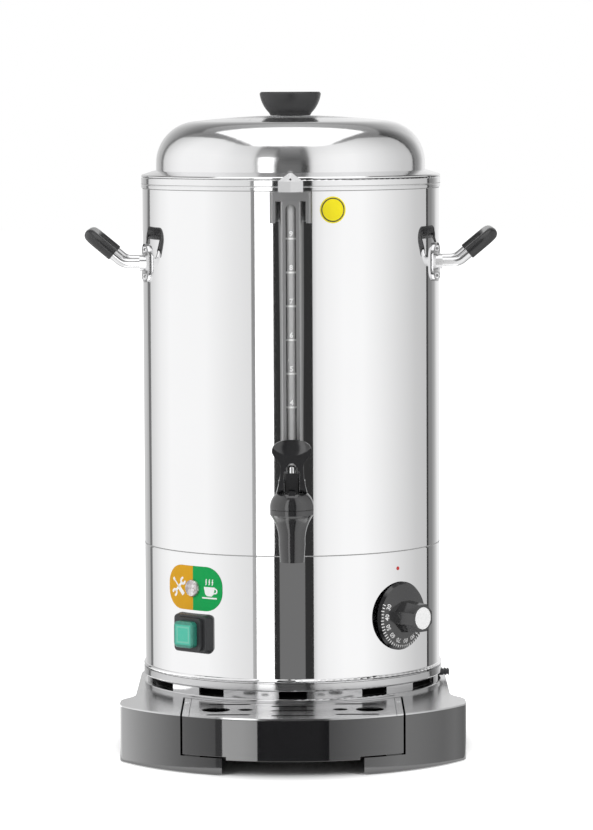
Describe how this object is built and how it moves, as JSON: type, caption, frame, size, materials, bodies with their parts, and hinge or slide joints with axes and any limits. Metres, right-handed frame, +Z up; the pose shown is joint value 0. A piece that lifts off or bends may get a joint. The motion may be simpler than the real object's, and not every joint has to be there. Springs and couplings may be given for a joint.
{
  "type": "hot water urn",
  "caption": "Electric hot water urn with a press tap, level gauge, thermostat dial, lift-off lid and a stand with a sliding drip tray",
  "frame": {"origin": "on the table, under the middle of the whole object's box", "axes": "+Z up, the tap and drip tray face -Y, the thermostat dial is on the +X side"},
  "size_m": [0.3322, 0.3294, 0.5257],
  "materials": {
    "polished_steel": "mirror polished stainless sheet with fine polishing lines",
    "tank_steel": "satin stainless",
    "bright_fittings": "bright polished steel fittings",
    "element_steel": "dull oxide grey sheath",
    "heater_aluminium": "cast, matt",
    "capillary_copper": "drawn copper",
    "control_plastic": "moulded heat resistant plastic",
    "stand_plastic": "glossy black moulding",
    "knob_plastic": "glossy black phenolic",
    "tap_plastic": "black moulding, half gloss",
    "grip_plastic": "black heat resistant sleeve",
    "bezel_plastic": "black moulding, fine grain",
    "cap_plastic": "pale disc",
    "boot_silicone": "clear green silicone",
    "rocker_plastic": "translucent green",
    "lens_plastic": "faceted clear lens",
    "label_print": "printed film, half amber and half green",
    "gauge_glass": "borosilicate tube with white marks",
    "seal_rubber": "silicone",
    "foot_rubber": "black rubber"
  },
  "bodies": {
    "stand": {"stand_skirt": "stand_plastic", "stand_top_plate": "polished_steel", "stand_feet": "foot_rubber", "tray_runners": "stand_plastic"},
    "drip_tray": {"drip_tray_pan": "stand_plastic", "tray_trims": "polished_steel", "trim_rivets": "polished_steel"},
    "drip_grid": {"drip_grid": "polished_steel"},
    "urn": {"foot_ring": "polished_steel", "spacer_tabs": "polished_steel", "base_pan": "polished_steel", "base_shell": "polished_steel", "drum_shell": "polished_steel", "top_rim": "polished_steel", "inner_tank": "tank_steel", "tank_floor": "tank_steel", "heater_plate": "heater_aluminium", "heating_element": "element_steel", "dry_cutout": "control_plastic", "thermostat_bulb": "capillary_copper", "thermostat_body": "control_plastic", "thermostat_capillary": "capillary_copper", "terminal_block": "control_plastic", "cable_gland": "bezel_plastic", "switch_bezel": "bezel_plastic", "switch_boot": "boot_silicone", "switch_body": "control_plastic", "label_plate": "label_print", "lamp_lens": "lens_plastic", "lamp_body": "control_plastic", "tap_body": "tap_plastic", "tap_bonnet": "tap_plastic", "shank_washers": "seal_rubber", "shank_nut": "tank_steel", "gauge_guard": "bright_fittings", "gauge_glass": "gauge_glass", "gauge_seals": "seal_rubber", "gauge_bracket": "bright_fittings", "gauge_nut": "bright_fittings", "handle_rod_right": "bright_fittings", "handle_rod_left": "bright_fittings", "handle_grip_right": "grip_plastic", "handle_grip_left": "grip_plastic", "handle_flanges_right": "bright_fittings", "handle_flanges_left": "bright_fittings", "handle_screws_right": "bright_fittings", "handle_screws_left": "bright_fittings"},
    "dial": {"dial_knob": "knob_plastic", "dial_cap": "cap_plastic", "dial_spindle": "bright_fittings"},
    "rocker": {"switch_rocker": "rocker_plastic"},
    "tap_stem": {"tap_stem": "bright_fittings", "stem_block": "tap_plastic", "lever_pin": "bright_fittings", "seat_cup": "seal_rubber", "tap_spring": "bright_fittings"},
    "tap_lever": {"tap_lever": "tap_plastic"},
    "lid": {"lid_shell": "polished_steel", "lid_knob": "knob_plastic", "knob_screw": "tank_steel"}
  },
  "joints": [
    {"name": "drip_tray_slide", "type": "slide", "parent": "stand", "child": "drip_tray", "axis": [0, -1, 0], "range_m": [0, 0.09]},
    {"name": "drip_grid_lift", "type": "slide", "parent": "drip_tray", "child": "drip_grid", "axis": [0, 0, 1], "range_m": [0, 0.03]},
    {"name": "urn_lift", "type": "slide", "parent": "stand", "child": "urn", "axis": [0, 0, 1], "range_m": [0, 0.1]},
    {"name": "lid_lift", "type": "slide", "parent": "urn", "child": "lid", "axis": [0, 0, 1], "range_m": [0, 0.12]},
    {"name": "dial_turn", "type": "hinge", "parent": "urn", "child": "dial", "pos_m": [0.08623, -0.04604, 0.1096], "axis": [-0.7133, 0.7009, 0], "range_deg": [0, 270]},
    {"name": "rocker_press", "type": "hinge", "parent": "urn", "child": "rocker", "pos_m": [-0.07858, -0.05331, 0.0974], "axis": [0, 0, 1], "range_deg": [0, 13]},
    {"name": "tap_stem_lift", "type": "slide", "parent": "urn", "child": "tap_stem", "axis": [0, 0, 1], "range_m": [0, 0.0027], "deforming": ["tap_spring"]},
    {"name": "tap_lever_press", "type": "hinge", "parent": "tap_stem", "child": "tap_lever", "pos_m": [0, -0.1313, 0.2255], "axis": [1, 0, 0], "range_deg": [0, 45], "stiffness_Nm_per_rad": 0.3, "springref_deg": -17.19}
  ],
  "couplings": [
    {"joint": "tap_stem_lift", "follows": "tap_lever_press", "m_per_rad": 0.0033104}
  ]
}
